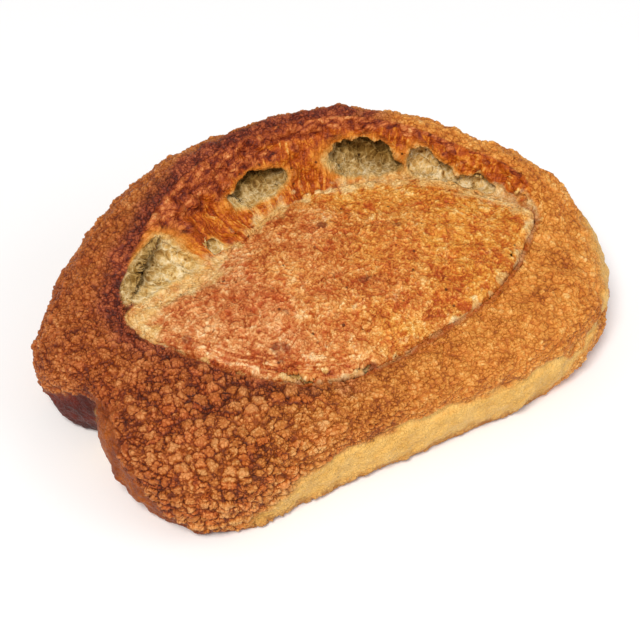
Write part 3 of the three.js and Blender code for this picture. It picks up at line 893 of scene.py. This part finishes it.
def crumbColour(tree, at):
    # open crumb: pale walls between round bubbles, with painted shade in the hollows of the bubbles and in
    # the dark holes of some of them
    add = functools.partial(addNode, tree)
    wall = add("ShaderNodeMix", {0: crumbLook["fineShare"], 2: at["bubble"], 3: at["finePebble"]})
    scale = 1 / (crumbLook["smallBubble"] * mm)
    hole = add("ShaderNodeTexVoronoi", {"Vector": at["place"], "Scale": scale}, feature="F1")
    hole = add("ShaderNodeMapRange", {0: hole} | spread(crumbLook["hole"]))
    hole = add("ShaderNodeMath", {0: hole, 1: at["bubbleTint"]}, operation="MULTIPLY")
    value = addUp(tree, at | {"wall": wall, "hole": hole}, crumbLook["shares"])
    dark, light = [add("ShaderNodeValToRGB", {0: value}, stops=crumbLook[name]) for name in ("dark", "light")]
    # paler where the pocket's paleness is high; its painted shade keeps the top and middle darker
    return laidOver(tree, dark, (at["light"], light))


# What all of the bread shares, sizes in mm. grain is real but fine, so bump alone shows it.
breadLook = {
    "patchSize": 15.0, "mottleSize": 4.0, "grainSize": 0.8,
    # the dark red-brown line under the front lip is painted shade in its crevice
    "lipLine": "#9c4512", "lipShadeFrom": (0.05, 0.5, 0.0, 0.75),
    "pit": "#4a1c06", "pitSpacing": 6.5, "pitOften": (0.5, 0.6),
    "pitEdge": {"where": "burst", "pattern": "mottle", "by": 0.16, "low": 0.2, "high": 0.14, "most": 0.85},
    "ior": 1.34, "gloss": {"start": 0.33, "grain": 0.3}, "crumbRoughness": 0.9,
    "bumps": {"start": 0.0, "grain": 1.0, "finePebble": 0.8, "mottle": 2.4, "pit": -1.5},
    "bumpHeight": 0.4, "bumpStrength": 0.9,
}


def bakedBread():
    # hand-shaped sourdough baked on its base: dull dry pebbled crust with a little gloss where its starch
    # gelled, and open crumb with no shine at all
    made = bpy.data.materials.new("ovenBakedSourdough")
    made.use_nodes = True
    tree = made.node_tree
    add = functools.partial(addNode, tree)
    read = {name: add("ShaderNodeAttribute", out="Vector" if name in vectorMaps else "Fac",
                      attribute_name=name) for name in maps}
    at = breadPatterns(tree, read)
    place = at["place"]
    at["patch"] = add("ShaderNodeTexNoise", {"Vector": place, "Scale": 1 / (breadLook["patchSize"] * mm),
                                             "Detail": 5, "Roughness": 0.6})
    at["mottle"] = add("ShaderNodeTexNoise", {"Vector": place, "Scale": 1 / (breadLook["mottleSize"] * mm),
                                              "Detail": 4, "Roughness": 0.6, "Distortion": 0.8})
    at["grain"] = add("ShaderNodeTexNoise", {"Vector": place, "Scale": 1 / (breadLook["grainSize"] * mm),
                                             "Detail": 2})
    layered = addUp(tree, at, bloomLook["layerShares"])
    at["layered"] = add("ShaderNodeMath", {0: layered, 1: at["layers"]}, operation="MULTIPLY")
    at["bloomValue"] = addUp(tree, at, bloomLook["shares"])
    cream = add("ShaderNodeValToRGB", {0: at["bloomValue"]}, stops=bloomLook["cream"])
    bare = frayed(tree, at, **bloomLook["bare"])

    # painted shade in the crevice under the front lip, frayed by the mottle
    lip = add("ShaderNodeMath", {0: at["mottle"], 1: at["lip"]}, operation="MULTIPLY")
    lip = add("ShaderNodeMapRange", {0: lip} | spread(breadLook["lipShadeFrom"]))
    # small dark pits where bubbles burst, on everything but the pebbled crust
    scale = 1 / (breadLook["pitSpacing"] * mm)
    at["burst"] = add("ShaderNodeTexVoronoi", {"Vector": place, "Scale": scale}, feature="F1")
    often = add("ShaderNodeSeparateXYZ", {0: at["burst"].node.outputs["Color"]})
    often = add("ShaderNodeMapRange", {0: often} | spread(breadLook["pitOften"]))
    pit = frayed(tree, at, **breadLook["pitEdge"])
    pit = add("ShaderNodeMath", {0: pit, 1: often}, operation="MULTIPLY")
    rind = add("ShaderNodeMath", {0: at["crust"], 1: at["pale"]}, operation="SUBTRACT", use_clamp=True)
    at["pit"] = add("ShaderNodeMath", {0: pit, 1: rind}, operation="SUBTRACT", use_clamp=True)
    colour = laidOver(tree, tornColour(tree, at), (bare, cream), (at["crust"], crustColour(tree, at)),
                      (at["bloom"], bloomColour(tree, at, bare, cream)), (lip, breadLook["lipLine"]),
                      (at["crumb"], crumbColour(tree, at)), (at["pit"], breadLook["pit"]))

    shader = tree.nodes["Principled BSDF"]
    shader.inputs["IOR"].default_value = breadLook["ior"]
    gloss = addUp(tree, at, breadLook["gloss"])
    gloss = add("ShaderNodeMix", {0: at["crumb"], 2: gloss, 3: breadLook["crumbRoughness"]})
    bumps = add("ShaderNodeBump", {"Height": addUp(tree, at, breadLook["bumps"]),
                                   "Distance": breadLook["bumpHeight"] * mm,
                                   "Strength": breadLook["bumpStrength"]}, "Normal")
    for name, value in (("Base Color", colour), ("Roughness", gloss), ("Normal", bumps)):
        tree.links.new(value, shader.inputs[name])
    return made


print("raising the relief")
tree, values = reliefTree(bakedBread())
for band in bands:
    raiseRelief(band, tree, values)
    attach(band, "root")
    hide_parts("loaf")


studio = {
    "target": (-13.0, -5.6, 37.2),
    "azimuth": -28.0,
    "elevation": 42.0,
    "distance": 837.0,
    "lens": 104.06,
    "sensor": 36.0,
}


def addCamera():
    azimuth, elevation = math.radians(studio["azimuth"]), math.radians(studio["elevation"])
    level = math.cos(elevation)
    back = Vector((math.sin(azimuth) * level, -math.cos(azimuth) * level, math.sin(elevation)))
    target = Vector(studio["target"]) + Vector(skin.heart)
    data = bpy.data.cameras.new("studioCamera")
    data.lens = studio["lens"]
    data.sensor_width = studio["sensor"]
    data.clip_start = 0.05
    data.clip_end = 20
    camera = bpy.data.objects.new("studioCamera", data)
    bpy.context.collection.objects.link(camera)
    camera.location = (target + back * studio["distance"]) * mm
    camera.rotation_euler = (-back).to_track_quat("-Z", "Y").to_euler()
    bpy.context.scene.camera = camera


paper = {"reach": 6.0, "colour": "#fbfdff", "roughness": 0.9}


def addFloor():
    # matte white paper, metres to each side
    mesh = bpy.data.meshes.new("paleFloor")
    corners = [(-1, -1), (1, -1), (1, 1), (-1, 1)]
    mesh.from_pydata([(paper["reach"] * x, paper["reach"] * y, 0) for x, y in corners], [], [(0, 1, 2, 3)])
    made = bpy.data.objects.new("paleFloor", mesh)
    bpy.context.collection.objects.link(made)
    material = bpy.data.materials.new("matteWhitePaper")
    material.use_nodes = True
    shader = material.node_tree.nodes["Principled BSDF"]
    shader.inputs["Base Color"].default_value = srgb(paper["colour"])
    shader.inputs["Roughness"].default_value = paper["roughness"]
    mesh.materials.append(material)


# Soft lights, in metres and watts, both aimed at the loaf, and the room's own glow.
lights = {
    "softKey": {"place": (-1.4, -1.5, 2.85), "size": 1.2, "power": 98, "colour": "#fff8f0"},
    "softFill": {"place": (2.1, -2.1, 1.8), "size": 2.4, "power": 24, "colour": "#f8f9ff"},
}
lightAim = (0, 0, 0.03)
room = {"colour": "#f6f7fa", "strength": 0.46}


def addLight(name, place, size, power, colour):
    data = bpy.data.lights.new(name, "AREA")
    data.shape = "DISK"
    data.size = size
    data.energy = power
    data.color = srgb(colour)[:3]
    made = bpy.data.objects.new(name, data)
    bpy.context.collection.objects.link(made)
    made.location = place
    made.rotation_euler = (Vector(lightAim) - Vector(place)).to_track_quat("-Z", "Y").to_euler()


print("setting the stage")
addCamera()
addFloor()
for name, light in lights.items():
    addLight(name, **light)
world = bpy.data.worlds.new("softRoom")
world.use_nodes = True
world.node_tree.nodes["Background"].inputs["Color"].default_value = srgb(room["colour"])
world.node_tree.nodes["Background"].inputs["Strength"].default_value = room["strength"]
bpy.context.scene.world = world
bpy.context.scene.view_settings.view_transform = "Standard"
